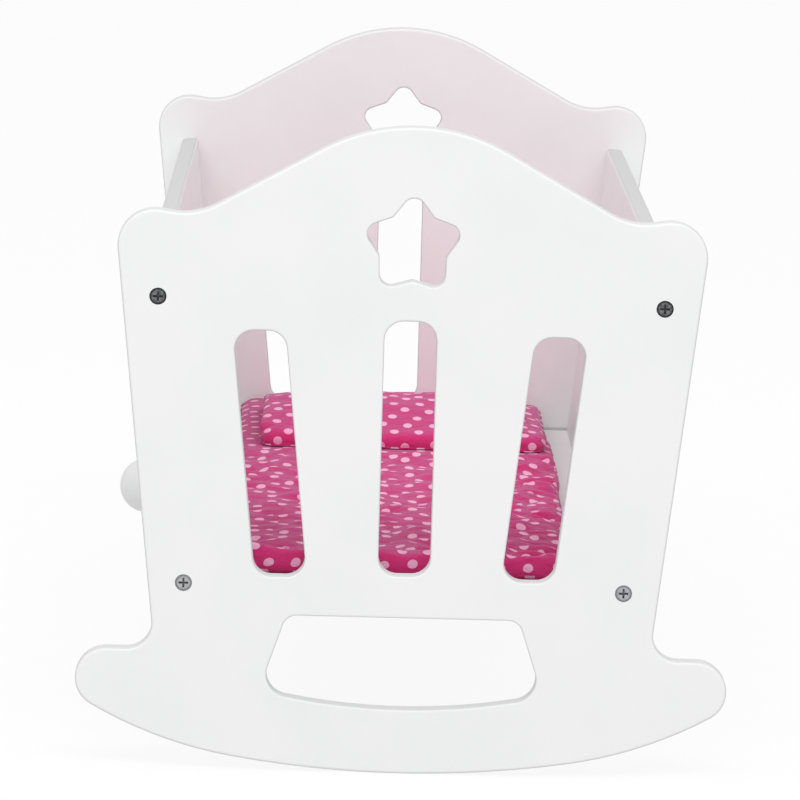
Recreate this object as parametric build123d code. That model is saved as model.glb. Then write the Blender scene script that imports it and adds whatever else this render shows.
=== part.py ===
from build123d import *
import os
from math import asin, atan2, cos, hypot, pi, radians, sin, sqrt, tan

# A doll's rocking cradle with its bedding, in millimetres.
# X runs across the cradle, Y along it from foot to head and Z up. The origin is
# midway between the end panels, on the lowest line of the rockers.

# Cradle as a whole
length = 500.0              # over the outer faces of the two end panels
height = 310.0              # from the floor to the crown of an end panel
panel_thickness = 9.0       # end panels
board_thickness = 9.0       # side boards
base_thickness = 3.5        # base board
base_top = 82.0             # height of the sleeping surface
splay = 6.13                # degrees that each side leans out
overrun = 1.0               # how far a cutter passes the face that it opens
seam = 0.001                # ends closer than this meet without a line between them

# Rockers, at the foot of each end panel
foot_reach = 155.0          # half the span over the feet
rocker_radius = 500.0       # curve that the cradle rocks on
rocker_end_radius = 200.0   # tighter curve towards the feet
rocker_end_start = 80.0     # half width at which that curve takes over
nose_radius = 14.8          # rounded end of a foot
instep_radius = 12.0        # hollow between foot and side edge

# Upper outline of an end panel
waist_half_width = 119.1    # half width just above the feet
ear_radius = 17.5           # rounded shoulder
ear_drop = 41.5             # top of a shoulder below the crown
ear_lean = 14.8             # degrees from plumb between shoulder and dip
dip_radius = 32.0           # hollow beside the shoulder
dip_lead = 0.3              # straight run between shoulder and dip
crown_radius = 90.0         # arch at the top
face_round = 1.5            # rounding round the outline, on both faces
hole_round = 1.0            # rounding round the cut-outs, on both faces

# Three upright slots in an end panel
slot_width = 24.6
slot_corner = 9.0
middle_slot_bottom = 96.1
middle_slot_drop = 91.8     # its top below the crown
outer_slot_bottom = 94.5
outer_slot_drop = 97.8
outer_slot_spacing = 58.5   # centre line from the middle, at the slot's lower end

# Window between the rockers and the base board
window_top = 75.8
window_bottom = 31.3        # on the centre line
window_top_half_width = 50.1    # to the centre of an upper corner
window_bottom_half_width = 53.1     # to the centre of a lower corner
window_top_corner = 7.0
window_bottom_corner = 11.0
window_sag_radius = 300.0   # its lower edge follows the rocker

# Five-pointed star
star_drop = 56.0            # centre below the crown
star_reach = 22.4           # centre to the end of a point
star_notch_reach = 16.6     # centre to the bottom of a notch
star_point_radius = 5.4
star_notch_radius = 3.0
star_points = 5

# Side boards
board_inset = 16.9          # centre line from the panel's side edge
board_bottom = 73.4
board_drop = 65.6           # top below the crown
board_round = 2.0           # rounding along the upper edge
groove_depth = 4.5
groove_clearance = 0.15     # above, below and beside the base board
base_end_gap = 3.0          # dark joint between the base board and each end panel

# Countersunk wood screws with a cross recess
screw_head_width = 8.0
screw_shank = 3.5
screw_length = 35.0
screw_rim = 0.3             # straight edge of the head
screw_point = 3.5           # length of the tapered end
screw_tip = 0.4             # radius of the blunt tip
screw_end_distance = 17.2   # from an end of the side board, up its face
screw_clearance = 0.05      # round head and shank
screw_well = 1.0            # empty bore past the tip
head_recess = 0.2           # head below the face
cross_width = 1.0
cross_span = 4.6
cross_depth = 1.6
cross_turns = (0, 90)       # degrees round the head

# Turned ball knob on the left board
knob_width = 28.4
knob_stand = 23.0           # centre of the ball from the board
knob_foot_radius = 8.0
knob_neck_radius = 5.8
knob_shoulder_radius = 7.2  # where the neck runs into the ball
knob_height = 91.8          # centre of its foot above the floor, on the board's outer face
knob_screw_length = 25.0

# Bedding, which lies a little to the left as photographed
soft_gap = 0.3              # between soft pieces, and under them
bedding_shift = -2.5
mattress_side_gap = 12.9    # to each side board, when it lies in the middle
mattress_end_gap = 4.0      # to each end panel
mattress_side = 6.0
mattress_thickness = 8.0
mattress_draw = 3.0
duvet_side_gap = 11.4
duvet_end_gap = 2.5
duvet_side = 3.4
duvet_thickness = 6.6       # over the flat part
duvet_roll = 15.0           # height of the roll against the foot panel
duvet_draw = 2.5
pillow_width = 156.0
pillow_length = 124.0
pillow_side = 3.0
pillow_thickness = 21.0
pillow_draw = 5.0
pillow_head_gap = 39.0      # from the head panel
pillow_shift = 2.0          # to the right of the middle
pillow_corner = 9.0         # rounding of a corner in plan
bedding_corner = 10.0

# Place along the duvet from its foot end, and top height between flat part and roll
duvet_wave_shares = (
    (0.00, 0.62), (0.02, 1.00), (0.04, 0.70), (0.06, 0.22), (0.09, 0.36), (0.13, 0.22),
    (0.18, 0.10), (0.24, 0.28), (0.31, 0.10), (0.39, 0.20), (0.47, 0.06), (0.55, 0.00),
    (0.63, 0.00), (0.71, 0.00), (0.79, 0.00), (0.87, 0.00), (0.95, 0.00), (1.00, -0.10),
)
# Place along the pillow from its front, and top height as a share of its thickness
pillow_crown_shares = (
    (0.00, 0.20), (0.08, 0.58), (0.22, 0.88), (0.46, 1.00), (0.70, 0.86), (0.89, 0.54), (1.00, 0.18),
)
# The same for the mattress
mattress_crown_shares = ((0.00, 0.80), (0.25, 0.96), (0.50, 1.00), (0.75, 0.96), (1.00, 0.80))

# Values that follow
lean = radians(splay)
ear_top = height - ear_drop
middle_slot_top = height - middle_slot_drop
outer_slot_top = height - outer_slot_drop
star_height = height - star_drop
board_top = height - board_drop
panel_inner = length / 2 - panel_thickness
rocker_end_lean = asin(rocker_end_start / rocker_radius)
rocker_end_x = (rocker_radius - rocker_end_radius) * sin(rocker_end_lean)
rocker_end_z = rocker_radius - (rocker_radius - rocker_end_radius) * cos(rocker_end_lean)
nose_x = foot_reach - nose_radius
nose_z = rocker_end_z - sqrt((rocker_end_radius - nose_radius) ** 2 - (nose_x - rocker_end_x) ** 2)
instep_z = nose_z + nose_radius + instep_radius
board_middle = (board_bottom + board_top) / 2
board_height = (board_top - board_bottom) / cos(lean)
base_middle = base_top - base_thickness / 2
knob_inner_z = knob_height + board_thickness * sin(lean)
duvet_z = base_top + mattress_thickness + 2 * soft_gap


def side_x(z, inset=0.0):
    """Half width at a height, this far in from the side edge of an end panel."""
    return waist_half_width + (z - instep_z) * tan(lean) - inset / cos(lean)


def inner_x(z):
    """Half width between the inner faces of the side boards at a height."""
    return side_x(z, board_inset + board_thickness / 2)


def groove_x(clearance):
    """Half width over the grooves for the base board, less a clearance at their bottoms."""
    return inner_x(base_middle) + groove_depth - clearance


def belt(rollers):
    """Closed outline of arcs joined by tangent lines, clockwise round a chain of rollers.

    A roller is (x, z, radius). A negative radius is a hollow, which bends the outline the other way.
    """
    normals = []
    for index, (x1, z1, radius1) in enumerate(rollers):
        x2, z2, radius2 = rollers[(index + 1) % len(rollers)]
        turn = max(-1, min(1, (radius2 - radius1) / hypot(x2 - x1, z2 - z1)))
        heading = atan2(z2 - z1, x2 - x1) + asin(turn)
        normals.append(Vector(sin(heading), 0, -cos(heading)))
    arcs = []
    for index, (x, z, radius) in enumerate(rollers):
        entry, leave = normals[index - 1], normals[index]
        middle = (entry + leave).normalized()
        arcs.append([Vector(x, 0, z) - normal * radius for normal in (entry, middle, leave)])
    edges = []
    for index, (start, middle, end) in enumerate(arcs):
        following = arcs[(index + 1) % len(arcs)][0]
        touching = (following - end).length < seam
        edges.append(Edge.make_three_point_arc(start, middle, following if touching else end))
        if not touching:
            edges.append(Edge.make_line(end, following))
    return edges


def both_sides(right, foot):
    """Right-hand rollers from the top down, the one at the foot, and the left-hand ones."""
    return right + [foot] + [(-x, z, radius) for x, z, radius in reversed(right)]


def plate(edges, thickness):
    """Slab with this outline, from the plane Y = 0 towards +Y."""
    return extrude(Face(Wire(edges)), amount=thickness, dir=(0, 1, 0))


def cutter(edges):
    """Slab that cuts right through an end panel."""
    return Pos(0, -overrun, 0) * plate(edges, panel_thickness + 2 * overrun)


def panel_outline():
    """Arched top, rounded shoulders, straight leaning sides and a rocker with upturned feet."""
    ear_z = ear_top - ear_radius
    ear_x = side_x(ear_z, ear_radius)
    reach = ear_radius + dip_radius + dip_lead
    dip_x = ear_x - reach * sin(radians(ear_lean))
    dip_z = ear_z + reach * cos(radians(ear_lean))
    right = [
        (dip_x, dip_z, -dip_radius),
        (ear_x, ear_z, ear_radius),
        (side_x(instep_z, -instep_radius), instep_z, -instep_radius),
        (nose_x, nose_z, nose_radius),
        (rocker_end_x, rocker_end_z, rocker_end_radius),
    ]
    crown = (0, height - crown_radius, crown_radius)
    return belt([crown] + both_sides(right, (0, rocker_radius, rocker_radius)))


def slot_outline(foot_x, bottom, top):
    """Round-cornered slot whose sides lean like the side boards when it is off the centre."""
    slope = tan(lean) if foot_x else 0
    half = slot_width / 2 - slot_corner
    low, high = bottom + slot_corner, top - slot_corner
    low_x = foot_x + slope * slot_corner
    high_x = foot_x + slope * (high - bottom)
    return belt([
        (high_x - half, high, slot_corner), (high_x + half, high, slot_corner),
        (low_x + half, low, slot_corner), (low_x - half, low, slot_corner),
    ])


def window_outline():
    """Window wider at the foot, with a lower edge that sags like the rocker."""
    sag_z = window_bottom + window_sag_radius
    low_reach = window_sag_radius - window_bottom_corner
    low_z = sag_z - sqrt(low_reach ** 2 - window_bottom_half_width ** 2)
    right = [
        (window_top_half_width, window_top - window_top_corner, window_top_corner),
        (window_bottom_half_width, low_z, window_bottom_corner),
    ]
    return belt(both_sides(right, (0, sag_z, window_sag_radius)))


def star_outline():
    """Star of rounded points and small rounded notches."""
    rollers = []
    for corner in range(2 * star_points):
        is_notch = corner % 2
        reach = star_notch_reach + star_notch_radius if is_notch else star_reach - star_point_radius
        radius = -star_notch_radius if is_notch else star_point_radius
        bearing = pi * corner / star_points
        rollers.append((reach * sin(bearing), star_height + reach * cos(bearing), radius))
    return belt(rollers)


def screw_places():
    """Right-hand screw centres (x, z) on the centre line of the side board."""
    rise = screw_end_distance * cos(lean)
    return [(side_x(z, board_inset), z) for z in (board_bottom + rise, board_top - rise)]


def screw_form(total, grow, above):
    """Countersunk form along -Z, its face at Z = 0, grown all round and drawn out above the face."""
    head = screw_head_width / 2
    shank = screw_shank / 2
    neck = screw_rim + head - shank
    outline = Polyline(
        (0, above), (head + grow, above), (head + grow, -screw_rim), (shank + grow, -neck),
        (shank + grow, screw_point - total), (screw_tip + grow, -total), (0, -total), close=True)
    return revolve(Plane.XZ * make_face(outline), Axis.Z)


def wood_screw(total):
    """Countersunk wood screw with a cross recess in its head."""
    slot = Box(cross_span, cross_width, 2 * cross_depth)
    return screw_form(total, 0, 0) - [Rot(0, 0, turn) * slot for turn in cross_turns]


def screw_bore(total):
    """Bore for one wood screw, with room past its tip and its countersink open above."""
    return screw_form(total + screw_well, screw_clearance, head_recess + overrun)


def at_corners(solid):
    """Copies of a screw or bore at the four corners of the foot panel, pointing along +Y."""
    face = -length / 2 + head_recess
    turned = Rot(90, 0, 0) * solid
    return [Pos(side * x, face, z) * turned for side in (-1, 1) for x, z in screw_places()]


def in_flat_faces(edges):
    """Edges that lie in the two flat faces of a panel that starts at Y = 0."""
    return [edge for edge in edges if edge.bounding_box().size.Y < face_round / 2]


def foot_panel():
    """End panel with its cut-outs and countersunk screw holes."""
    blank = plate(panel_outline(), panel_thickness)
    blank = fillet(in_flat_faces(blank.edges()), face_round)
    outer_slot = cutter(slot_outline(outer_slot_spacing, outer_slot_bottom, outer_slot_top))
    middle_slot = cutter(slot_outline(0, middle_slot_bottom, middle_slot_top))
    cutters = [outer_slot, outer_slot.mirror(Plane.YZ), middle_slot]
    cutters += [cutter(window_outline()), cutter(star_outline())]
    panel = blank - cutters
    panel = fillet(in_flat_faces(new_edges(blank, *cutters, combined=panel)), hole_round)
    return Pos(0, -length / 2, 0) * panel - at_corners(screw_bore(screw_length))


def right_board():
    """Leaning side board with a rounded upper edge, a groove for the base and its screw holes."""
    blank = Box(board_thickness, 2 * panel_inner, board_height)
    upper = blank.edges().filter_by(Axis.Y).group_by(Axis.Z)[-1]
    blank = fillet(upper, board_round)
    board = Pos(side_x(board_middle, board_inset), 0, board_middle) * Rot(0, splay, 0) * blank
    groove = Box(2 * groove_x(0), length, base_thickness + 2 * groove_clearance)
    board -= Pos(0, 0, base_middle) * groove
    bores = at_corners(screw_bore(screw_length))
    return board - bores - [bore.mirror(Plane.XZ) for bore in bores]


def left_board(board):
    """Mirror image of the right board, bored for the knob's screw."""
    return board.mirror(Plane.YZ) - at_knob(screw_bore(knob_screw_length))


def base_board():
    """Thin board that slides into both grooves and stops short of the end panels."""
    board_length = 2 * (panel_inner - base_end_gap)
    return Pos(0, 0, base_middle) * Box(2 * groove_x(groove_clearance), board_length, base_thickness)


def at_knob(solid):
    """Puts a screw or bore on the knob's axis, its head in the inner face of the left board."""
    x = inner_x(knob_inner_z) + head_recess * cos(lean)
    z = knob_inner_z - head_recess * sin(lean)
    return Pos(-x, 0, z) * Rot(0, 90 - splay, 0) * solid


def knob():
    """Turned knob: a small foot, a waisted neck and a ball, bored for its screw."""
    radius = knob_width / 2
    join = knob_stand - sqrt(radius ** 2 - knob_shoulder_radius ** 2)
    outline = [
        Line((0, 0), (knob_foot_radius, 0)),
        ThreePointArc((knob_foot_radius, 0), (knob_neck_radius, join / 2), (knob_shoulder_radius, join)),
        ThreePointArc((knob_shoulder_radius, join), (radius, knob_stand), (0, knob_stand + radius)),
        Line((0, knob_stand + radius), (0, 0)),
    ]
    turned = revolve(Plane.XZ * make_face(Curve() + outline), Axis.Z)
    x = side_x(knob_height, board_inset - board_thickness / 2)
    placed = Pos(-x, 0, knob_height) * Rot(0, -90 - splay, 0) * turned
    return placed - at_knob(screw_bore(knob_screw_length))


def plan_prism(width, length_y, draw, corner, tallest):
    """Upright prism of a cushion's plan: round corners and sides drawn in between them."""
    reach_x, reach_y = width / 2 - corner, length_y / 2 - corner
    curve_x = (reach_x ** 2 + draw ** 2) / (2 * draw) - corner
    curve_y = (reach_y ** 2 + draw ** 2) / (2 * draw) - corner
    far_x = width / 2 - draw + curve_y
    far_y = length_y / 2 - draw + curve_x
    outline = belt([
        (0, far_y, -curve_x), (reach_x, reach_y, corner), (far_x, 0, -curve_y), (reach_x, -reach_y, corner),
        (0, -far_y, -curve_x), (-reach_x, -reach_y, corner), (-far_x, 0, -curve_y), (-reach_x, reach_y, corner),
    ])
    return Pos(0, 0, tallest + overrun) * Rot(-90, 0, 0) * plate(outline, tallest + 2 * overrun)


def padded(width, length_y, draw, corner, side, tops):
    """Soft piece on Z = 0 with crowned cross sections at these (place, top height) along Y."""
    half = width / 2 + overrun
    sections = []
    for place, top in tops:
        y = place * length_y - length_y / 2
        rim = min(side, top / 2)
        low = [Vector(-half, y, 0), Vector(half, y, 0)]
        high = [Vector(half, y, rim), Vector(0, y, top), Vector(-half, y, rim)]
        sections.append(Face(Wire([
            Edge.make_line(*low),
            Edge.make_line(low[1], high[0]),
            Edge.make_three_point_arc(*high),
            Edge.make_line(high[2], low[0]),
        ])))
    return loft(sections) & plan_prism(width, length_y, draw, corner, max(top for place, top in tops))


def mattress():
    """Thin pad on the base board."""
    tops = [(place, share * mattress_thickness) for place, share in mattress_crown_shares]
    width = 2 * (inner_x(base_top) - mattress_side_gap)
    length_y = 2 * (panel_inner - mattress_end_gap)
    pad = padded(width, length_y, mattress_draw, bedding_corner, mattress_side, tops)
    return Pos(bedding_shift, 0, base_top + soft_gap) * pad


def duvet():
    """Quilt over the mattress: flat under the pillow, waved below it and rolled up at the foot end."""
    rise = duvet_roll - duvet_thickness
    tops = [(place, duvet_thickness + share * rise) for place, share in duvet_wave_shares]
    width = 2 * (inner_x(base_top) - duvet_side_gap)
    length_y = 2 * (panel_inner - duvet_end_gap)
    quilt = padded(width, length_y, duvet_draw, bedding_corner, duvet_side, tops)
    return Pos(bedding_shift, 0, duvet_z) * quilt


def pillow():
    """Plump pillow towards the head end, highest a little in front of its middle."""
    tops = [(place, share * pillow_thickness) for place, share in pillow_crown_shares]
    cushion = padded(pillow_width, pillow_length, pillow_draw, pillow_corner, pillow_side, tops)
    y = panel_inner - pillow_head_gap - pillow_length / 2
    return Pos(pillow_shift, y, duvet_z + duvet_thickness + soft_gap) * cushion


def cradle():
    """Every piece under its own name."""
    panel = foot_panel()
    board = right_board()
    screws = Compound(at_corners(wood_screw(screw_length)))
    return {
        "foot_panel": panel,
        "head_panel": panel.mirror(Plane.XZ),
        "left_side_board": left_board(board),
        "right_side_board": board,
        "base_board": base_board(),
        "foot_panel_screws": screws,
        "head_panel_screws": screws.mirror(Plane.XZ),
        "rocking_knob": knob(),
        "knob_screw": at_knob(wood_screw(knob_screw_length)),
        "mattress": mattress(),
        "duvet": duvet(),
        "pillow": pillow(),
    }


os.makedirs("parts", exist_ok=True)
for name, piece in cradle().items():
    export_step(piece, f"parts/{name}.step")
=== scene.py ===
import bmesh
import bpy
from math import atan2, copysign, cos, hypot, pi, radians, sin
from mathutils import Matrix, Vector, noise


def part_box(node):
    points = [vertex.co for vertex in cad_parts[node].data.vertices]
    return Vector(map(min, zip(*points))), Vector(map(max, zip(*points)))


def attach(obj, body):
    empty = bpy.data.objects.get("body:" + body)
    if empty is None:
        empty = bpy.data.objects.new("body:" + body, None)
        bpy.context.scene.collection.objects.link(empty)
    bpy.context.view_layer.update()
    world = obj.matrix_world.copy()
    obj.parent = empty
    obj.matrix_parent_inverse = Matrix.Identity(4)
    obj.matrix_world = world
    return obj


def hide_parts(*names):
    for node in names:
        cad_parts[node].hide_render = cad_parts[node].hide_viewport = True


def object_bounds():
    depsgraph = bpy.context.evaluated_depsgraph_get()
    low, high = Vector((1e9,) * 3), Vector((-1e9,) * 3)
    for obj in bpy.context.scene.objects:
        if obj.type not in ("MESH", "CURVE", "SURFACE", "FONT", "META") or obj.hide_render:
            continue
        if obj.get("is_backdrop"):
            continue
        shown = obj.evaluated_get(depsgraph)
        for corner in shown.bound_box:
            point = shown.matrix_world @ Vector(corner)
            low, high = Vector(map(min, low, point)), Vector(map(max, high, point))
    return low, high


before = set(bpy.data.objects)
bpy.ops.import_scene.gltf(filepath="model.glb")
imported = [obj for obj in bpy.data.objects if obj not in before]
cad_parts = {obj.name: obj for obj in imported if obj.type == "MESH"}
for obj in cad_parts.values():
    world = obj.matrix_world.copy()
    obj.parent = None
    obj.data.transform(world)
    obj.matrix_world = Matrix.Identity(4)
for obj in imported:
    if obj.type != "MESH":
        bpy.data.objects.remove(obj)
cad_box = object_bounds()

# Real sizes, in metres
MM = 0.001
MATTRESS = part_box("mattress")
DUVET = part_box("duvet")
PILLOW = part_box("pillow")
BASE_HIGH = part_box("base_board")[1]
DOT_ROW = 14.0 * MM         # between two rows of dots that run along the cloth
DOT_REPEAT = 17.5 * MM      # between two dots of a row
DOT_RADIUS = 2.4 * MM
DOT_STRAY = 3.4 * MM        # how far dots stray from their grid, from one side to the other
THREAD_PITCH = 0.42 * MM
BASE_GAP = 3.0 * MM         # joint between the base board's end and the panel
ON_FACE = 0.5 * MM          # what lies within this of a panel's face is on the face
JOINT_DROP = 0.5 * MM       # middle of the joint's shade below the base board's top
JOINT_DARK = 1.0 * MM       # half the height of its dark middle
JOINT_FADED = 2.2 * MM      # half its height with the soft edges

# Screw heads of the end panels: how far out and how high their middles are, and their flat faces
LOWER_SCREW = (104.3 * MM, 90.5 * MM)
UPPER_SCREW = (119.0 * MM, 227.3 * MM)
SCREW_FACE = 249.8 * MM
SCREW_RADIUS = 4.0 * MM
SCREW_RECESS = 0.3 * MM     # what lies this far below the flat face is in the recess

# Colours
JOINT_SHADE = (0.60, 0.60, 0.60, 1)
ZINC_BRIGHT = (0.62, 0.63, 0.64, 1)
ZINC_WORN = (0.46, 0.47, 0.48, 1)
# Painted shade and painted reflection on the corner screw heads: darker rims, darker upper heads, dark recesses
ZINC_LOWER_RIM_SHADE = (0.27, 0.275, 0.28, 1)
ZINC_UPPER_SHADE = (0.26, 0.27, 0.28, 1)
ZINC_UPPER_DEEP_SHADE = (0.12, 0.125, 0.13, 1)
ZINC_UPPER_RIM_SHADE = (0.045, 0.047, 0.05, 1)
ZINC_RECESS_SHADE = (0.05, 0.05, 0.055, 1)
TENT_LOW = (0.65, 0.65, 0.65, 1)
FLOOR_GLOW = (0.81, 0.81, 0.81, 1)
FLOOR_DARK = (0.115, 0.115, 0.115, 1)
FLOOR_PALE = (0.125, 0.125, 0.125, 1)
WHITE = (1, 1, 1, 1)
# cotton ground: deep where the cloth faces the camera, paler and greyer at grazing angles as painted sheen,
# with some random tone
COTTON_DEEP = (0.63, 0.028, 0.178, 1)
COTTON_PALE_TONE_AND_SHEEN = (0.49, 0.060, 0.215, 1)
COTTON_DOT = (0.86, 0.44, 0.62, 1)

# Top of the duvet along its length, in millimetres from its middle and above its underside
DUVET_PROFILE = (
    (-238.5, 7.0), (-236.0, 10.6), (-232.0, 11.6), (-224.0, 10.6), (-212.0, 8.2), (-200.0, 6.8), (-120.0, 6.6),
    (40.0, 6.6), (230.0, 6.4),
)
# Folds across the duvet, in millimetres: where the steep front starts, how long it rises and how long it
# falls away behind, and its height at the left, in the middle and at the right
DUVET_FOLDS = (
    (-238, 4, 14, 2.3, 0.1, 0.5),
    (-224, 5, 14, 0.2, 1.8, 1.6),
    (-204, 5, 16, 1.0, 0.8, 1.2),
    (-181, 6, 24, 1.3, 0.7, 1.3),
    (-161, 5, 30, 0.5, 2.1, 0.8),
    (-132, 6, 28, 1.5, 0.5, 1.3),
    (-98, 6, 26, 0.7, 0.8, 1.8),
    (-66, 6, 24, 0.75, 0.9, 1.3),
    (-36, 6, 22, 0.8, 0.6, 1.5),
    (-7, 6, 20, 0.5, 0.65, 1.7),
    (27, 6, 18, 0.7, 0.5, 1.8),
    (56, 5, 14, 0.5, 0.6, 1.3),
)
# Unevenness of the duvet's top: its height in millimetres, how much it slants across and along, its wave
# lengths across and along in metres, its seed, and how much stronger it is at the right
DUVET_BUMPS = (
    (1.5, 0.0, 0.0, (0.021, 0.017), 3.3, 0.0),
    (1.7, 0.4, -0.35, (0.015, 0.0085), 9.1, 0.0),
    (1.6, -0.5, 0.35, (0.020, 0.0070), 6.2, 0.9),
    (0.8, 0.0, 0.0, (0.011, 0.0048), 4.4, 0.9),
)
BEDDING_CORNER = 10 * MM    # rounding of the duvet and the mattress in plan
ON_SEAM = 0.001 * MM        # closer than this is on the seam
DUVET_SET_BACK = 6 * MM     # gap between the duvet and the foot panel
DUVET_SEAM = 2.4            # height of the duvet's seam above its underside, in millimetres
DUVET_SIDE_ROUND = 12 * MM  # how far in from a side seam the top is rounded off
DUVET_END_ROUND = 4 * MM    # the same at the ends
DUVET_PUCKER = 2.4          # height of the puckers along the side seams, in millimetres
DUVET_PRESSED = 78 * MM     # past here the pillow keeps the duvet flat
DUVET_BULGE = 1.7 * MM      # how far the right edge stands out in front of the pillow
MATTRESS_ROUND = 15 * MM    # how far in from its seam the mattress is crowned
MATTRESS_DRAW = 3 * MM      # how far its sides pull in between the corners
MATTRESS_SINK = 0.7 * MM    # how far the duvet presses its top down
# Side of the pillow in section, in millimetres: measured along the cloth from its lower edge, in from its
# widest line, and above its underside. Past the last row the top runs level.
PILLOW_SIDE = (
    (0.0, 0.9, 0.6), (2.8, 0.0, 3.0), (5.3, 0.6, 5.4), (7.6, 2.0, 7.2), (11.5, 4.9, 9.2), (20.0, 12.7, 11.9),
    (32.0, 24.1, 15.4), (44.0, 35.7, 18.8), (56.0, 47.5, 20.6), (68.0, 59.4, 21.1), (120.0, 111.4, 21.1),
)
PILLOW_TURN = 18 * MM       # cloth that goes round a corner of the pillow
PILLOW_WIDER = 0.5 * MM     # wider than its box
PILLOW_SHIFT = 0.75 * MM    # and further to the right
PILLOW_WANDER = 1.1 * MM    # how far the front edge wanders in and out
PILLOW_SLOPE = 0.20         # how much lower the pillow is at the head, as a share
PILLOW_SEAM = 0.8 * MM      # height of the pillow's seam above its underside
PILLOW_LEFT = 0.3           # how upright the pillow's sides are: 0 like a wall, 1 like its front
PILLOW_RIGHT = 0.85

# The photograph's camera, which stood 2.5 m in front of the cradle
CAMERA_PLACE = Vector((-0.0358, -2.5039, 0.5670))
CAMERA_YAW = 0.803
CAMERA_PITCH = 9.72
CAMERA_ROLL = 1.614
CAMERA_LENS = 218.7
SENSOR = 36.0

# Lamp above and in front of the cradle, in metres and watts
LAMP_PLACE = (-0.1, -1.4, 2.0)
LAMP_AIM = (0, 0, 0.1)
LAMP_SIZE = (3.2, 0.8)
LAMP_POWER = 25


class Value:
    """One number in a material. Python's operators on it add the Math nodes."""

    def __init__(self, finish, socket):
        self.finish = finish
        self.socket = socket

    def __add__(self, other):
        return self.finish.math("ADD", self, other)

    def __sub__(self, other):
        return self.finish.math("SUBTRACT", self, other)

    def __rsub__(self, other):
        return self.finish.math("SUBTRACT", other, self)

    def __mul__(self, other):
        return self.finish.math("MULTIPLY", self, other)

    def __truediv__(self, other):
        return self.finish.math("DIVIDE", self, other)

    def __lt__(self, other):
        return self.finish.math("LESS_THAN", self, other)

    def __gt__(self, other):
        return self.finish.math("GREATER_THAN", self, other)

    def __abs__(self):
        return self.finish.math("ABSOLUTE", self, 0)

    def __round__(self):
        return self.finish.math("ROUND", self, 0)

    def __or__(self, other):
        """The smaller of two numbers."""
        return self.finish.math("MINIMUM", self, other)

    __radd__ = __add__

    def ramp(self, low, high):
        """Smooth step from 0 at low to 1 at high."""
        node = self.finish.node(
            "ShaderNodeMapRange", {"interpolation_type": "SMOOTHSTEP"},
            {"Value": self, "From Min": low, "From Max": high})
        return Value(self.finish, node.outputs["Result"])


class Nodes:
    """A node tree and the one way of adding nodes to it."""

    def __init__(self, tree):
        self.tree = tree

    def node(self, kind, settings=None, inputs=None):
        made = self.tree.nodes.new(kind)
        for key, value in (settings or {}).items():
            setattr(made, key, value)
        for key, value in (inputs or {}).items():
            self.feed(made.inputs[key], value)
        return made

    def feed(self, socket, value):
        if isinstance(value, Value):
            value = value.socket
        if isinstance(value, bpy.types.NodeSocket):
            self.tree.links.new(value, socket)
        else:
            socket.default_value = value

    def math(self, operation, first, second):
        made = self.node("ShaderNodeMath", {"operation": operation}, {0: first, 1: second})
        return Value(self, made.outputs[0])

    def place(self, kind="Object"):
        return self.node("ShaderNodeTexCoord").outputs[kind]

    def stretched(self, vector, scale, turn=0.0):
        """Coordinates turned by an angle in degrees and then scaled, so that noise runs out along one line."""
        return self.node("ShaderNodeMapping", {"vector_type": "TEXTURE"}, {
            "Vector": vector, "Rotation": (0, 0, radians(turn)),
            "Scale": tuple(1 / part for part in scale)}).outputs[0]

    def grain(self, vector, pitch, detail=2.0, roughness=0.5):
        """Noise from 0 to 1 whose blotches are about this wide, in metres."""
        made = self.node(
            "ShaderNodeTexNoise", None,
            {"Vector": vector, "Scale": 1 / pitch, "Detail": detail, "Roughness": roughness})
        return Value(self, made.outputs["Fac"])

    def blend(self, mask, first, second):
        """One colour turning into another with a mask."""
        made = self.node("ShaderNodeMix", {"data_type": "RGBA"}, {"Factor": mask, 6: first, 7: second})
        return made.outputs[2]

    def axes(self, vector):
        """The three numbers of a vector."""
        split = self.node("ShaderNodeSeparateXYZ", None, {0: vector})
        return [Value(self, socket) for socket in split.outputs]

    def seen(self):
        """1 where the camera looks straight at the surface, 0 for light on its way."""
        return Value(self, self.node("ShaderNodeLightPath").outputs["Is Camera Ray"])


class Finish(Nodes):
    """A material and its shader."""

    def __init__(self, name, **shader):
        self.material = bpy.data.materials.new(name)
        self.material.use_nodes = True
        super().__init__(self.material.node_tree)
        self.shader = self.tree.nodes["Principled BSDF"]
        for socket, value in shader.items():
            self.shader.inputs[socket.replace("_", " ")].default_value = value

    def colour(self, value):
        self.feed(self.shader.inputs["Base Color"], value)

    def rough(self, value):
        self.feed(self.shader.inputs["Roughness"], value)

    def relief(self, height, depth, strength=1.0):
        """Bump of this depth in metres for a height that runs from 0 to 1."""
        bump = self.node("ShaderNodeBump", None, {"Height": height, "Distance": depth, "Strength": strength})
        self.feed(self.shader.inputs["Normal"], bump.outputs[0])


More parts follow.
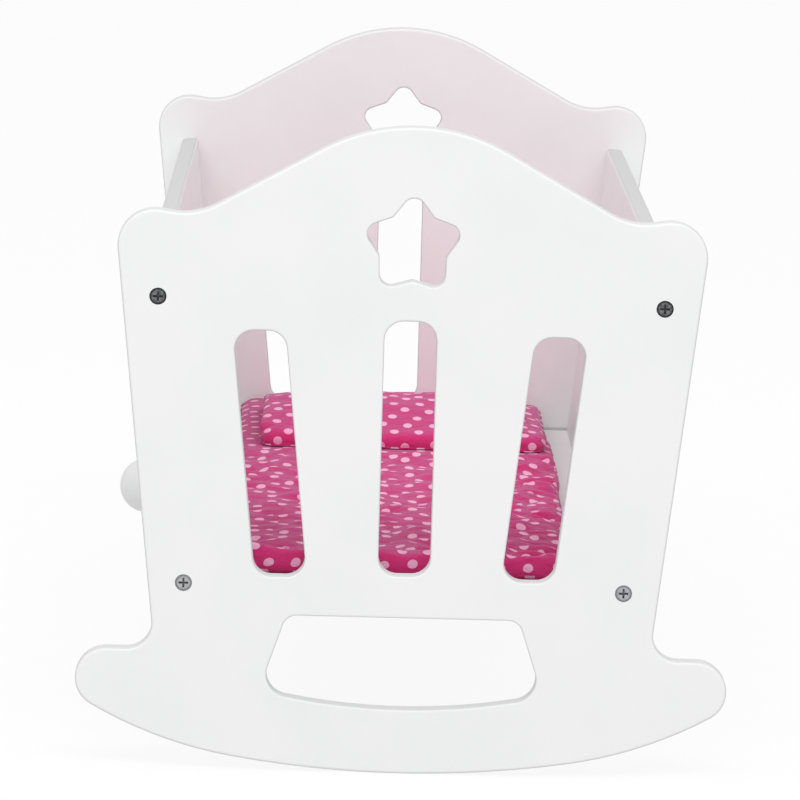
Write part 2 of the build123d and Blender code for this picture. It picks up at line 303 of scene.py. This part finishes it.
def white_paint(name, level, roughness, face=None, edge_shade_level=0.7, joint=False):
    """Sprayed satin paint on fibreboard: faint clouds, orange peel, and duller, rougher cut edges, painted
    darker as painted shade for the weaker light on tops and rims.

    The face is the axis that the board's flat sides look along. The joint is painted shadow: a dark line
    on the panel along the base board's end, where the joint's gap lies in shade.
    """
    finish = Finish(name, Specular_IOR_Level=0.45)
    place = finish.place()
    clouds = finish.grain(place, 60 * MM, 3.0)
    peel = finish.grain(place, 1.6 * MM, 2.0)
    fibre = finish.grain(place, 0.45 * MM, 4.0, 0.7)
    pale = (level, level, level, 1)
    cool = (level * 0.965, level * 0.97, level * 0.975, 1)
    coat = finish.blend(clouds.ramp(0.35, 0.75), pale, cool)
    edge = 0.0
    if face is not None:
        normal = finish.axes(finish.node("ShaderNodeNewGeometry").outputs["Normal"])
        edge = (1 - abs(normal[face])).ramp(0.0, 0.45)
        # painted shade: the cut edges and their roundings take the darker edge shade level
        coat = finish.blend(edge, coat, (edge_shade_level, edge_shade_level, edge_shade_level, 1))
    if joint:
        x, y, z = finish.axes(place)
        inside = (abs(x) < BASE_HIGH.x) * (abs(y) < BASE_HIGH.y + BASE_GAP + ON_FACE)
        # painted shadow of the joint's gap, a dark band on the panel just below the base board's top
        shade = abs(z - BASE_HIGH.z + JOINT_DROP).ramp(JOINT_FADED, JOINT_DARK) * inside
        coat = finish.blend(shade, coat, JOINT_SHADE)
    finish.colour(coat)
    finish.rough(roughness + clouds * 0.05 + edge * 0.40)
    finish.relief(peel * 0.6 + fibre * (0.15 + edge * 0.25), 0.05 * MM, 0.5)
    return finish.material


def zinc_plate(name, corners):
    """Bright zinc plating, unevenly worn.

    On the corner screws the rims and the recesses are darker as painted shade, and the upper screws are painted
    darker than the lower as a painted reflection.
    """
    finish = Finish(name, Metallic=1.0)
    place = finish.place()
    wear_and_shade_blotches = finish.grain(place, 1.2 * MM, 4.0, 0.65)
    turned = finish.grain(finish.stretched(place, (1, 12, 1)), 0.5 * MM, 2.0)
    colour = finish.blend(wear_and_shade_blotches.ramp(0.3, 0.7), ZINC_BRIGHT, ZINC_WORN)
    if corners:
        x, y, z = finish.axes(place)
        upper = z > (LOWER_SCREW[1] + UPPER_SCREW[1]) / 2
        out = abs(x) - upper * (UPPER_SCREW[0] - LOWER_SCREW[0]) - LOWER_SCREW[0]
        rise = z - upper * (UPPER_SCREW[1] - LOWER_SCREW[1]) - LOWER_SCREW[1]
        # painted shade: darker rims and recesses, and the upper heads painted darker than the lower as a
        # painted reflection
        rim_shade = ((out * out + rise * rise) / SCREW_RADIUS ** 2 + wear_and_shade_blotches * 0.2 - 0.1).ramp(0.36, 0.80)
        recess_shade = abs(y) < SCREW_FACE - SCREW_RECESS
        upper_shade = finish.blend(wear_and_shade_blotches.ramp(0.35, 0.65), ZINC_UPPER_SHADE, ZINC_UPPER_DEEP_SHADE)
        lower_head_with_rim_shade = finish.blend(rim_shade, colour, ZINC_LOWER_RIM_SHADE)
        upper_head_with_shade = finish.blend(rim_shade, upper_shade, ZINC_UPPER_RIM_SHADE)
        colour = finish.blend(upper, lower_head_with_rim_shade, upper_head_with_shade)
        colour = finish.blend(recess_shade * 0.8, colour, ZINC_RECESS_SHADE)
    finish.colour(colour)
    finish.rough(0.28 + wear_and_shade_blotches * 0.2)
    finish.relief(turned, 0.02 * MM, 0.6)
    return finish.material


def dot_rows(finish, across, down, shift):
    """Squared distance from the middle of the nearest dot, in a grid of slightly misplaced dots."""
    column = across / DOT_ROW + shift
    row = down / DOT_REPEAT + shift
    cell = finish.node("ShaderNodeCombineXYZ", None, {0: round(column), 1: round(row), 2: shift})
    lottery = finish.node("ShaderNodeTexWhiteNoise", {"noise_dimensions": "3D"}, {"Vector": cell.outputs[0]})
    moved = finish.axes(lottery.outputs["Color"])
    dx = (column - round(column)) * DOT_ROW + (moved[0] - 0.5) * DOT_STRAY
    dy = (row - round(row)) * DOT_REPEAT + (moved[1] - 0.5) * DOT_STRAY
    return dx * dx + dy * dy


def dotted_cotton():
    """Pink printed cotton: pale dots in staggered rows, a plain weave, a soft sheen, a painted sheen that makes
    the colour paler at grazing angles, and crossing creases.

    The creases are deeper towards the right, where the duvet is crumpled.
    """
    finish = Finish(
        "dotted_cotton", Sheen_Weight=0.20, Sheen_Roughness=0.5, Specular_IOR_Level=0.2,
        Subsurface_Weight=0.35, Subsurface_Scale=0.006)
    finish.shader.inputs["Subsurface Radius"].default_value = (1.0, 0.15, 0.35)
    cloth = finish.place("UV")
    across, down, _ = finish.axes(cloth)
    nearest = dot_rows(finish, across, down, 0.0) | dot_rows(finish, across, down, 0.5)
    fray = finish.grain(cloth, 0.7 * MM, 2.0) * 0.12
    dot = (nearest / DOT_RADIUS ** 2 + fray).ramp(1.22, 0.92)
    tone = finish.grain(cloth, 35 * MM, 3.0)
    # painted sheen: paler, greyer colour where the cloth is seen at a grazing angle, deeper where it faces the
    # camera
    grazing_sheen = Value(finish, finish.node("ShaderNodeLayerWeight", None, {"Blend": 0.5}).outputs["Facing"])
    ground = finish.blend(grazing_sheen.ramp(0.0, 0.9) * 0.8 + tone * 0.2, COTTON_DEEP, COTTON_PALE_TONE_AND_SHEEN)
    finish.colour(finish.blend(dot, ground, COTTON_DOT))
    warp, weft = [
        Value(finish, finish.node(
            "ShaderNodeTexWave", {"wave_type": "BANDS", "bands_direction": direction},
            {"Vector": cloth, "Scale": 1 / (THREAD_PITCH * 2 * pi), "Distortion": 0.6, "Detail Scale": 2.0},
        ).outputs["Fac"])
        for direction in "XY"]
    slub = finish.grain(cloth, 2.2 * MM, 3.0)
    rising = finish.grain(finish.stretched(cloth, (0.3, 1, 1), 14), 4.5 * MM, 2.0, 0.6)
    falling = finish.grain(finish.stretched(cloth, (0.3, 1, 1), -18), 5.5 * MM, 2.0, 0.6)
    pulled = finish.axes(finish.place())[0].ramp(25 * MM, 80 * MM)
    crease = (rising + falling) * (1 + pulled * 0.9)
    finish.rough(0.78 + slub * 0.14)
    finish.relief(warp * weft * 0.10 + slub * 0.08 + crease * 1.1, MM, 0.7)
    return finish.material


def paint_nodes():
    """Gives every rigid piece its finish."""
    panel_paint = white_paint("panel_paint", level=0.865, roughness=0.36, face=1, edge_shade_level=0.66, joint=True)
    board_paint = white_paint("board_paint", level=0.865, roughness=0.40, face=0, edge_shade_level=0.57)
    base_foil = white_paint("base_foil", level=0.855, roughness=0.34)
    knob_paint = white_paint("knob_paint", level=0.76, roughness=0.26)
    corner_zinc = zinc_plate("corner_screw_zinc", corners=True)
    finishes = {
        "foot_panel": panel_paint, "head_panel": panel_paint,
        "left_side_board": board_paint, "right_side_board": board_paint,
        "base_board": base_foil, "rocking_knob": knob_paint,
        "foot_panel_screws": corner_zinc, "head_panel_screws": corner_zinc,
        "knob_screw": zinc_plate("knob_screw_zinc", corners=False),
    }
    for node, material in finishes.items():
        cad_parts[node].data.materials.clear()
        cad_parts[node].data.materials.append(material)


def sewn_case(name, width, length, step_x, step_y):
    """Two flat sheets sewn along their edges, with the cloth's own flat measures as its UV map."""
    shell = bmesh.new()
    uv = shell.loops.layers.uv.new("cloth")
    step = min(step_x, step_y)
    columns, rows = round(width / step_x), round(length / step_y)
    bmesh.ops.create_grid(shell, x_segments=columns, y_segments=rows, size=0.5)
    bmesh.ops.scale(shell, vec=(width, length, 1), verts=shell.verts)
    for face in shell.faces:
        for loop in face.loops:
            loop[uv].uv = (loop.vert.co.x + width, loop.vert.co.y + length)
    inner = [vert for vert in shell.verts if not vert.is_boundary]
    bmesh.ops.translate(shell, vec=(0, 0, step), verts=inner)
    made = bmesh.ops.duplicate(shell, geom=shell.faces[:] + shell.edges[:] + shell.verts[:])["geom"]
    under = [item for item in made if isinstance(item, bmesh.types.BMFace)]
    for face in under:
        for loop in face.loops:
            loop[uv].uv.x += 2 * width
    bmesh.ops.reverse_faces(shell, faces=under)
    low = {vert for face in under for vert in face.verts if vert.co.z > 0}
    bmesh.ops.translate(shell, vec=(0, 0, -2 * step), verts=list(low))
    bmesh.ops.remove_doubles(shell, verts=shell.verts, dist=step / 100)
    bmesh.ops.recalc_face_normals(shell, faces=shell.faces)
    mesh = bpy.data.meshes.new(name)
    shell.to_mesh(mesh)
    shell.free()
    piece = bpy.data.objects.new(name, mesh)
    bpy.context.scene.collection.objects.link(piece)
    return piece


def finer(piece):
    """Smooth shading and one subdivision."""
    piece.data.polygons.foreach_set("use_smooth", [True] * len(piece.data.polygons))
    skin = piece.modifiers.new("finer", "SUBSURF")
    skin.levels = skin.render_levels = 1


def swell(piece, held, pressure, frames, cap, longer, bending=0.02):
    """Fills a sewn case by cloth simulation; the held points stay, and no point moves further than the cap.

    The cloth is cut longer than it lies along Y, so it gathers into ripples across.
    """
    scene = bpy.context.scene
    cloth = piece.modifiers.new("cloth", "CLOTH")
    settings = cloth.settings
    settings.quality = 5
    settings.mass = 0.2
    settings.tension_stiffness = settings.compression_stiffness = 10
    settings.shear_stiffness = 3.5
    settings.bending_stiffness = bending
    settings.use_pressure = True
    settings.uniform_pressure_force = pressure
    settings.effector_weights.gravity = 0
    cloth.collision_settings.use_collision = False
    piece.shape_key_add(name="laid")
    cut = piece.shape_key_add(name="cut")
    for point, vert in zip(cut.data, piece.data.vertices):
        point.co = (vert.co.x, vert.co.y * longer, vert.co.z)
    settings.rest_shape_key = cut
    group = piece.vertex_groups.new(name="held")
    group.add(held, 1.0, "REPLACE")
    settings.vertex_group_mass = "held"
    cloth.point_cache.frame_start = 1
    cloth.point_cache.frame_end = frames
    for frame_number in range(1, frames + 1):
        scene.frame_set(frame_number)
    filled = piece.evaluated_get(bpy.context.evaluated_depsgraph_get())
    places = [vert.co.copy() for vert in filled.data.vertices]
    piece.modifiers.remove(cloth)
    scene.frame_set(1)
    piece.shape_key_clear()
    piece.vertex_groups.clear()
    for vert, place in zip(piece.data.vertices, places):
        move = place - vert.co
        if move.length > cap:
            move *= cap / move.length
        vert.co += move


def lay_print(piece, width):
    """Measures the finished surface along its rows and columns, so that the dots keep their size on each slope.

    Every column is eased to the sheet's mean length, because a woven cloth hardly shears.
    """
    mesh = piece.data
    layer = mesh.uv_layers["cloth"].data
    grid = {}
    for loop, item in zip(mesh.loops, layer):
        grid[(round(item.uv.x / MM, 2), round(item.uv.y / MM, 2))] = mesh.vertices[loop.vertex_index].co
    columns, rows = {}, {}
    for u, v in sorted(grid):
        columns.setdefault(u, []).append((u, v))
        rows.setdefault((v, u > 2 * width / MM), []).append((u, v))
    measure = {key: [0.0, 0.0] for key in grid}
    for axis, runs in ((1, columns.values()), (0, rows.values())):
        measured = []
        for run in runs:
            reach = [0.0]
            for one, two in zip(run, run[1:]):
                reach.append(reach[-1] + (grid[two] - grid[one]).length)
            measured.append((run, reach, run[0][0] > 2 * width / MM))
        for run, reach, under in measured:
            middle, ease = len(run) // 2, 1.0
            if axis == 1:
                whole = [other[-1] for _, other, side in measured if side == under]
                middle, ease = len(run) - 1, sum(whole) / len(whole) / reach[-1]
            start = run[middle][axis] * MM
            for key, far in zip(run, reach):
                measure[key][axis] = start + (far - reach[middle]) * ease
    for item in layer:
        item.uv = measure[(round(item.uv.x / MM, 2), round(item.uv.y / MM, 2))]


def bumps(x, y, waves, seed):
    """Smooth noise from about -1 to 1, with these wave lengths for its two measures."""
    return noise.noise(Vector((x / waves[0], y / waves[1], seed)))


def along(profile, place):
    """Height on a profile at a place, with smooth steps between its points."""
    for (here, low), (there, high) in zip(profile, profile[1:]):
        if place <= there:
            share = max(0.0, (place - here) / (there - here))
            return low + (high - low) * share * share * (3 - 2 * share)
    return profile[-1][1]


def fade(value, start, end):
    """Smooth step from 0 at the start to 1 at the end."""
    share = min(1.0, max(0.0, (value - start) / (end - start)))
    return share * share * (3 - 2 * share)


def rounded(x, y, width, length):
    """Place in plan on a sheet whose corners are rounded off."""
    past_x, past_y = abs(x) - width / 2 + BEDDING_CORNER, abs(y) - length / 2 + BEDDING_CORNER
    if past_x > 0 and past_y > 0:
        pull = 1 - max(past_x, past_y) / hypot(past_x, past_y)
        x -= copysign(past_x * pull, x)
        y -= copysign(past_y * pull, y)
    return x, y


def fit(piece, low, high):
    """Moves a piece made round the origin to the middle of its box, its underside on the box's."""
    for vert in piece.data.vertices:
        vert.co.x += (low.x + high.x) / 2
        vert.co.y += (low.y + high.y) / 2
        vert.co.z += low.z


def soft(piece, node, cotton):
    """Dresses a soft piece and ties it to the node that it stands for."""
    piece.data.materials.append(cotton)
    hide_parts(node)
    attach(piece, node)


def pillow_side(reach):
    """How far in from the widest line and how high the pillow is, this far along the cloth from its edge."""
    reach /= MM
    for (here, inset, low), (there, further, high) in zip(PILLOW_SIDE, PILLOW_SIDE[1:]):
        if reach <= there:
            share = (reach - here) / (there - here)
            return (inset + (further - inset) * share) * MM, (low + (high - low) * share) / PILLOW_SIDE[-1][2]


def pillow_point(u, v, half_x, half_y, spare):
    """Place and share of the full height for a point of the flat case."""
    edge_x, edge_y = half_x + spare - abs(u), half_y + spare - abs(v)
    turn_x, turn_y = PILLOW_TURN - edge_x, PILLOW_TURN - edge_y
    inset_x, tall_x = pillow_side(edge_x)
    inset_y, tall_y = pillow_side(edge_y)
    x, y = half_x - inset_x, half_y - inset_y
    if turn_x > 0 and turn_y > 0:
        radius, tall_x = pillow_side(PILLOW_TURN)
        inset, tall_y = pillow_side(PILLOW_TURN - max(turn_x, turn_y))
        bearing = atan2(turn_y, turn_x)
        x = half_x - radius + (radius - inset) * cos(bearing)
        y = half_y - radius + (radius - inset) * sin(bearing)
    tall_x = tall_x ** (PILLOW_RIGHT if u > 0 else PILLOW_LEFT)
    tall = (tall_x ** -3 + tall_y ** -3 - 1) ** (-1 / 3)
    return x * (1 if u > 0 else -1), y * (1 if v > 0 else -1), tall


def make_pillow(cotton):
    """Plump pillow with upright sides, lower towards the head, on a flat underside."""
    low, high = PILLOW
    width, length = high.x - low.x + PILLOW_WIDER, high.y - low.y
    thick = PILLOW_SIDE[-1][2] * MM
    spare = (PILLOW_SIDE[-1][0] - PILLOW_SIDE[-1][1]) * MM
    piece = sewn_case("pillow_case", width + 2 * spare, length + 2 * spare, step_x=2.6 * MM, step_y=2.6 * MM)
    held = []
    for vert in piece.data.vertices:
        under = vert.co.z < 0
        x, y, tall = pillow_point(vert.co.x, vert.co.y, width / 2, length / 2, spare)
        back = fade(2 * y / length, 0.0, 1.0)
        lumps = bumps(x, y, (0.035, 0.03), 2.4)
        ripples = bumps(x + 0.5 * y, y - 0.2 * x, (0.015, 0.008), 7.4)
        wander = PILLOW_WANDER * bumps(x, 4.4, (0.019, 1), 1.7) * fade(-y / length, 0.1, 0.45)
        vert.co.x = x * (1 - 0.020 * (1 - (2 * y / length) ** 2)) + PILLOW_SHIFT
        vert.co.y = y * (1 - 0.016 * (1 - (2 * x / width) ** 2)) + wander
        if under:
            vert.co.z = PILLOW_SEAM * (1 - fade(tall, 0.04, 0.25))
            held.append(vert.index)
        else:
            plump = 1 - PILLOW_SLOPE * back + 0.05 * lumps * tall
            vert.co.z = thick * tall * plump + 0.8 * MM * ripples * tall ** 2
    swell(piece, held, pressure=0.8, frames=14, cap=1.5 * MM, longer=1.03, bending=0.03)
    lay_print(piece, width)
    fit(piece, low, high)
    finer(piece)
    soft(piece, "pillow", cotton)


def duvet_height(x, y, width, length):
    """Top of the duvet: its profile, folds across, short ripples and puckers along the seams."""
    edge = width / 2 - abs(x)
    end = length / 2 - abs(y)
    free = 1 - fade(y, 62 * MM, 84 * MM) * fade(edge, 0, 6 * MM)
    height = along(DUVET_PROFILE, y / MM)
    share = min(1.0, max(-1.0, x / (58 * MM)))
    for number, (front, run, fall, left, middle, right) in enumerate(DUVET_FOLDS):
        drift = 14 * bumps(x, number * 3.7, (0.030, 1), 5.3)
        tall = middle + (right - middle) * max(0.0, share) + (left - middle) * max(0.0, -share)
        tall *= 1 + 0.8 * bumps(x, number * 5.1, (0.020, 1), 0.7)
        behind = y / MM - front - drift * (number > 0)
        if 0 < behind < run + fall:
            height += tall * (fade(behind, 0, run) if behind < run else 1 - fade(behind, run, run + fall))
    for tall, slant_across, slant_along, waves, seed, crumpled in DUVET_BUMPS:
        tall *= 1 + crumpled * fade(x, 15 * MM, 60 * MM)
        height += free * tall * bumps(x + slant_across * y, y + slant_along * x, waves, seed)
    pucker = bumps(edge, y + 0.9 * edge, (0.03, 0.0062), 2.2 + (x > 0))
    height += free * DUVET_PUCKER * pucker * fade(edge, 32 * MM, 4 * MM)
    round_off = min(1.0, max(0.0, edge / DUVET_SIDE_ROUND))
    round_end = min(1.0, max(0.0, end / DUVET_END_ROUND))
    crown = (1 - (1 - round_off) ** 2.4) ** 0.6 * (1 - (1 - round_end) ** 2.4) ** 0.5
    return (DUVET_SEAM + (height - DUVET_SEAM) * crown) * MM


def make_duvet(cotton):
    """Thin quilt, folded across, with puckered side seams and a roll against the foot panel."""
    low, high = DUVET
    width, length = high.x - low.x, high.y - low.y
    piece = sewn_case("duvet_case", width, length, step_x=4.0 * MM, step_y=1.9 * MM)
    held = []
    for vert in piece.data.vertices:
        x, y = vert.co.x, vert.co.y
        if vert.co.z > ON_SEAM:
            vert.co.z = duvet_height(x, y, width, length)
            if y > DUVET_PRESSED:
                held.append(vert.index)
        else:
            edge = min(width / 2 - abs(x), length / 2 - abs(y))
            vert.co.z = DUVET_SEAM * MM * (1 - fade(edge, 0, 8 * MM))
            held.append(vert.index)
            if edge < ON_SEAM:
                vert.co.x -= copysign(0.9 * MM * (1 + bumps(y, x, (0.007, 1), 0.5)), x)
        vert.co.x, vert.co.y = rounded(vert.co.x, y, width, length)
        vert.co.y += DUVET_SET_BACK * fade(-y / length, 0.40, 0.5)
        standing = fade(y, -30 * MM, 20 * MM) * (1 - fade(y, 110 * MM, 150 * MM))
        vert.co.x += DUVET_BULGE * fade(x / width, 0.30, 0.48) * standing
    swell(piece, held, pressure=0.3, frames=10, cap=1.2 * MM, longer=1.04)
    lay_print(piece, width)
    fit(piece, low, high)
    finer(piece)
    soft(piece, "duvet", cotton)


def make_mattress(cotton):
    """Thin pad with a crowned top and bottom, a puckered seam round its middle and drawn-in sides."""
    low, high = MATTRESS
    width, length, thick = high.x - low.x, high.y - low.y, high.z - low.z
    piece = sewn_case("mattress_case", width, length, step_x=4 * MM, step_y=4 * MM)
    held = []
    for vert in piece.data.vertices:
        x, y = vert.co.x, vert.co.y
        side = (vert.co.z > ON_SEAM) - (vert.co.z < -ON_SEAM)
        beside, beyond = width / 2 - abs(x), length / 2 - abs(y)
        edge = max(0.0, min(beside, beyond))
        crown = (1 - (1 - min(1.0, edge / MATTRESS_ROUND)) ** 2.2) ** 0.7
        pucker = bumps(y if beside < beyond else x, edge, (0.0075, 0.05), 3.0 + side)
        lumps = bumps(x, y, (0.035, 0.045), 5.0 + side)
        rise = 0.5 * lumps * crown + 0.9 * pucker * fade(edge, 26 * MM, 3 * MM) * min(1.0, edge / (3 * MM))
        vert.co.z = thick / 2 + side * (thick / 2 * crown - 0.4 * MM + rise * MM) - (side > 0) * MATTRESS_SINK
        if side <= 0:
            held.append(vert.index)
        x -= copysign(MATTRESS_DRAW * (1 - abs(2 * y / length) ** 2.5) * abs(2 * x / width) ** 6, x)
        vert.co.x, vert.co.y = rounded(x, y, width, length)
    swell(piece, held, pressure=0.6, frames=10, cap=0.8 * MM, longer=1.03)
    fit(piece, low, high)
    finer(piece)
    soft(piece, "mattress", cotton)


def make_camera():
    """The photograph's camera, solved from the two equal end panels."""
    data = bpy.data.cameras.new("camera")
    data.lens = CAMERA_LENS
    data.sensor_width = SENSOR
    camera = bpy.data.objects.new("camera", data)
    bpy.context.scene.collection.objects.link(camera)
    turn = Matrix.Rotation(-radians(CAMERA_YAW), 4, "Z")
    tilt = Matrix.Rotation(radians(90 - CAMERA_PITCH), 4, "X")
    roll = Matrix.Rotation(radians(CAMERA_ROLL), 4, "Z")
    camera.matrix_world = Matrix.Translation(CAMERA_PLACE) @ turn @ tilt @ roll
    bpy.context.scene.camera = camera


def make_lamp():
    """Wide studio lamp that points at the cradle."""
    data = bpy.data.lights.new("lamp", "AREA")
    data.shape = "RECTANGLE"
    data.size, data.size_y = LAMP_SIZE
    data.energy = LAMP_POWER
    lamp = bpy.data.objects.new("lamp", data)
    lamp.location = LAMP_PLACE
    lamp.rotation_euler = (Vector(LAMP_AIM) - Vector(LAMP_PLACE)).to_track_quat("-Z", "Y").to_euler()
    bpy.context.scene.collection.objects.link(lamp)


def make_tent():
    """White light tent round the cradle, brightest overhead."""
    world = bpy.data.worlds.new("studio")
    world.use_nodes = True
    bpy.context.scene.world = world
    tent = Nodes(world.node_tree)
    rise = abs(tent.axes(tent.place("Generated"))[2])
    glow = tent.blend(rise.ramp(0.0, 1.0), TENT_LOW, WHITE)
    tent.feed(tent.tree.nodes["Background"].inputs["Color"], tent.blend(tent.seen(), glow, WHITE))


def make_floor():
    """White floor that glows a little, so it stays white round the cradle's soft shadow."""
    shell = bmesh.new()
    bmesh.ops.create_grid(shell, x_segments=1, y_segments=1, size=20)
    mesh = bpy.data.meshes.new("floor")
    shell.to_mesh(mesh)
    shell.free()
    floor = bpy.data.objects.new("floor", mesh)
    bpy.context.scene.collection.objects.link(floor)
    finish = Finish("floor_white", Roughness=0.95, Specular_IOR_Level=0.0, Emission_Strength=0.86)
    finish.feed(finish.shader.inputs["Emission Color"], finish.blend(finish.seen(), FLOOR_GLOW, WHITE))
    speck = finish.grain(finish.place(), 30 * MM, 3.0)
    finish.colour(finish.blend(speck, FLOOR_DARK, FLOOR_PALE))
    mesh.materials.append(finish.material)
    floor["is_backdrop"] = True


make_camera()
make_tent()
make_lamp()
make_floor()
paint_nodes()
cotton = dotted_cotton()
make_mattress(cotton)
make_duvet(cotton)
make_pillow(cotton)
bpy.context.scene.view_settings.view_transform = "Standard"

{"cad": [list(p) for p in cad_box], "visual": [list(p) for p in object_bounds()]}
